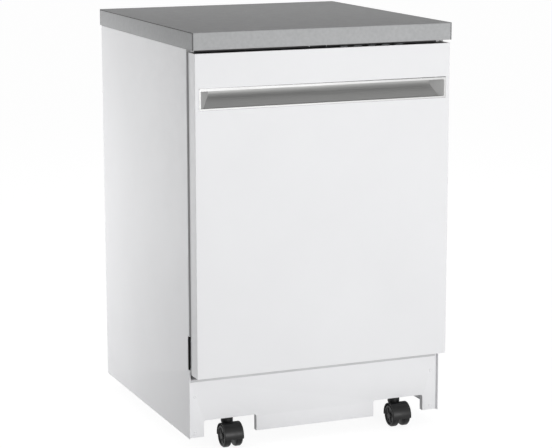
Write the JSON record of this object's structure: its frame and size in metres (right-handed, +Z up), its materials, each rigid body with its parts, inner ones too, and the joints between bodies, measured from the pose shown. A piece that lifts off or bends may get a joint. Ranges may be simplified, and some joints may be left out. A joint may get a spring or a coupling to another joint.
{
  "type": "portable dishwasher",
  "caption": "Cabinet dishwasher on swivel casters with a fold-down door, recessed bar handle, sliding racks, spray arms and a laminate worktop.",
  "frame": {"origin": "centre of the footprint on the floor under the casters", "axes": "+X to the right seen from the front, +Y from the front to the rear, +Z up"},
  "size_m": [0.622, 0.664, 0.947],
  "materials": {
    "worktop": "satin grey laminate on board",
    "white_paint": "semi-gloss white enamel",
    "stainless": "bright rolled",
    "brushed_metal": "brushed along its length",
    "zinc_steel": "zinc plated",
    "heater_sheath": "darkened sheath",
    "coated_wire": "nylon coated wire",
    "seal_rubber": "soft matte",
    "white_plastic": "fine texture",
    "grey_plastic": "moulded",
    "black_plastic": "moulded",
    "caster_black": "moulded nylon"
  },
  "bodies": {
    "cabinet": {"worktop": "worktop", "left_side_panel": "white_paint", "right_side_panel": "white_paint", "rear_panel": "white_paint", "kick_panel": "white_paint", "tub": "stainless", "left_rack_track": "stainless", "right_rack_track": "stainless", "base_frame": "zinc_steel", "top_frame": "zinc_steel", "door_strike": "zinc_steel", "left_hinge_bracket": "zinc_steel", "right_hinge_bracket": "zinc_steel", "heating_element": "heater_sheath", "tub_gasket": "seal_rubber", "inlet_valve": "white_plastic", "float_dome": "white_plastic", "hose_bay": "grey_plastic", "sump": "grey_plastic", "filter": "grey_plastic", "feed_tube": "grey_plastic", "top_shower": "grey_plastic", "cord_gland": "black_plastic", "hose_gland": "black_plastic", "wash_pump": "black_plastic", "drain_pump": "black_plastic"},
    "door": {"door_outer_panel": "white_paint", "door_inner_panel": "stainless", "handle_pocket": "brushed_metal", "control_console": "black_plastic", "door_latch": "black_plastic", "dispenser_body": "grey_plastic", "left_hinge_arm": "zinc_steel", "right_hinge_arm": "zinc_steel"},
    "upper_rack": {"upper_rack": "coated_wire"},
    "lower_rack": {"lower_rack": "coated_wire", "cutlery_basket": "grey_plastic"},
    "rack_rails": {"left_rack_rail": "stainless", "right_rack_rail": "stainless"},
    "middle_spray_arm": {"middle_spray_arm": "grey_plastic"},
    "lower_spray_arm": {"lower_spray_arm": "grey_plastic"},
    "dispenser_lid": {"dispenser_lid": "grey_plastic"},
    "rinse_aid_cap": {"rinse_aid_cap": "black_plastic"},
    "button_1": {"button_1": "grey_plastic"},
    "button_2": {"button_2": "grey_plastic"},
    "button_3": {"button_3": "grey_plastic"},
    "button_4": {"button_4": "grey_plastic"},
    "button_5": {"button_5": "grey_plastic"},
    "caster_front_left": {"caster_hood_front_left": "caster_black"},
    "wheels_front_left": {"caster_wheels_front_left": "caster_black"},
    "caster_front_right": {"caster_hood_front_right": "caster_black"},
    "wheels_front_right": {"caster_wheels_front_right": "caster_black"},
    "caster_rear_left": {"caster_hood_rear_left": "caster_black"},
    "wheels_rear_left": {"caster_wheels_rear_left": "caster_black"},
    "caster_rear_right": {"caster_hood_rear_right": "caster_black"},
    "wheels_rear_right": {"caster_wheels_rear_right": "caster_black"},
    "rack_wheel_left_front": {"rack_wheel_left_front": "grey_plastic"},
    "rack_wheel_left_rear": {"rack_wheel_left_rear": "grey_plastic"},
    "rack_wheel_right_front": {"rack_wheel_right_front": "grey_plastic"},
    "rack_wheel_right_rear": {"rack_wheel_right_rear": "grey_plastic"}
  },
  "joints": [
    {"name": "door_hinge", "type": "hinge", "parent": "cabinet", "child": "door", "pos_m": [0, -0.2896, 0.249], "axis": [1, 0, 0], "range_deg": [0, 90]},
    {"name": "upper_rack_slide", "type": "slide", "parent": "cabinet", "child": "upper_rack", "axis": [0, -1, 0], "range_m": [0, 0.4713]},
    {"name": "rack_rail_slide", "type": "slide", "parent": "cabinet", "child": "rack_rails", "axis": [0, -1, 0], "range_m": [0, 0.2357]},
    {"name": "lower_rack_slide", "type": "slide", "parent": "cabinet", "child": "lower_rack", "axis": [0, -1, 0], "range_m": [0, 0.2514]},
    {"name": "middle_spray_spin", "type": "hinge", "parent": "upper_rack", "child": "middle_spray_arm", "pos_m": [0, 0.0104, 0.575], "axis": [0, 0, 1], "continuous": true},
    {"name": "lower_spray_spin", "type": "hinge", "parent": "cabinet", "child": "lower_spray_arm", "pos_m": [0, 0.0104, 0.28], "axis": [0, 0, 1], "continuous": true},
    {"name": "dispenser_lid_slide", "type": "slide", "parent": "door", "child": "dispenser_lid", "axis": [1, 0, 0], "range_m": [0, 0.058]},
    {"name": "rinse_aid_cap_twist", "type": "hinge", "parent": "door", "child": "rinse_aid_cap", "pos_m": [0.041, -0.2796, 0.558], "axis": [0, 1, 0], "range_deg": [0, 90]},
    {"name": "button_1_press", "type": "slide", "parent": "door", "child": "button_1", "axis": [0, 0, -1], "range_m": [0, 0.0015], "stiffness_N_per_m": 400, "springref_m": -0.0008},
    {"name": "button_2_press", "type": "slide", "parent": "door", "child": "button_2", "axis": [0, 0, -1], "range_m": [0, 0.0015], "stiffness_N_per_m": 400, "springref_m": -0.0008},
    {"name": "button_3_press", "type": "slide", "parent": "door", "child": "button_3", "axis": [0, 0, -1], "range_m": [0, 0.0015], "stiffness_N_per_m": 400, "springref_m": -0.0008},
    {"name": "button_4_press", "type": "slide", "parent": "door", "child": "button_4", "axis": [0, 0, -1], "range_m": [0, 0.0015], "stiffness_N_per_m": 400, "springref_m": -0.0008},
    {"name": "button_5_press", "type": "slide", "parent": "door", "child": "button_5", "axis": [0, 0, -1], "range_m": [0, 0.0015], "stiffness_N_per_m": 400, "springref_m": -0.0008},
    {"name": "swivel_front_left", "type": "hinge", "parent": "cabinet", "child": "caster_front_left", "pos_m": [-0.21, -0.2576, 0.06], "axis": [0, 0, 1], "continuous": true},
    {"name": "roll_front_left", "type": "hinge", "parent": "caster_front_left", "child": "wheels_front_left", "pos_m": [-0.21, -0.2796, 0.0265], "axis": [1, 0, 0], "continuous": true},
    {"name": "swivel_front_right", "type": "hinge", "parent": "cabinet", "child": "caster_front_right", "pos_m": [0.21, -0.2576, 0.06], "axis": [0, 0, 1], "continuous": true},
    {"name": "roll_front_right", "type": "hinge", "parent": "caster_front_right", "child": "wheels_front_right", "pos_m": [0.21, -0.2796, 0.0265], "axis": [1, 0, 0], "continuous": true},
    {"name": "swivel_rear_left", "type": "hinge", "parent": "cabinet", "child": "caster_rear_left", "pos_m": [-0.21, 0.2594, 0.06], "axis": [0, 0, 1], "continuous": true},
    {"name": "roll_rear_left", "type": "hinge", "parent": "caster_rear_left", "child": "wheels_rear_left", "pos_m": [-0.21, 0.2374, 0.0265], "axis": [1, 0, 0], "continuous": true},
    {"name": "swivel_rear_right", "type": "hinge", "parent": "cabinet", "child": "caster_rear_right", "pos_m": [0.21, 0.2594, 0.06], "axis": [0, 0, 1], "continuous": true},
    {"name": "roll_rear_right", "type": "hinge", "parent": "caster_rear_right", "child": "wheels_rear_right", "pos_m": [0.21, 0.2374, 0.0265], "axis": [1, 0, 0], "continuous": true},
    {"name": "rack_wheel_left_front_roll", "type": "hinge", "parent": "lower_rack", "child": "rack_wheel_left_front", "pos_m": [-0.261, -0.0446, 0.2783], "axis": [1, 0, 0], "continuous": true},
    {"name": "rack_wheel_left_rear_roll", "type": "hinge", "parent": "lower_rack", "child": "rack_wheel_left_rear", "pos_m": [-0.261, 0.1954, 0.2783], "axis": [1, 0, 0], "continuous": true},
    {"name": "rack_wheel_right_front_roll", "type": "hinge", "parent": "lower_rack", "child": "rack_wheel_right_front", "pos_m": [0.261, -0.0446, 0.2783], "axis": [1, 0, 0], "continuous": true},
    {"name": "rack_wheel_right_rear_roll", "type": "hinge", "parent": "lower_rack", "child": "rack_wheel_right_rear", "pos_m": [0.261, 0.1954, 0.2783], "axis": [1, 0, 0], "continuous": true}
  ],
  "couplings": [
    {"joint": "upper_rack_slide", "follows": "door_hinge", "m_per_rad": 0.3},
    {"joint": "rack_rail_slide", "follows": "door_hinge", "m_per_rad": 0.15},
    {"joint": "lower_rack_slide", "follows": "door_hinge", "m_per_rad": 0.16}
  ]
}
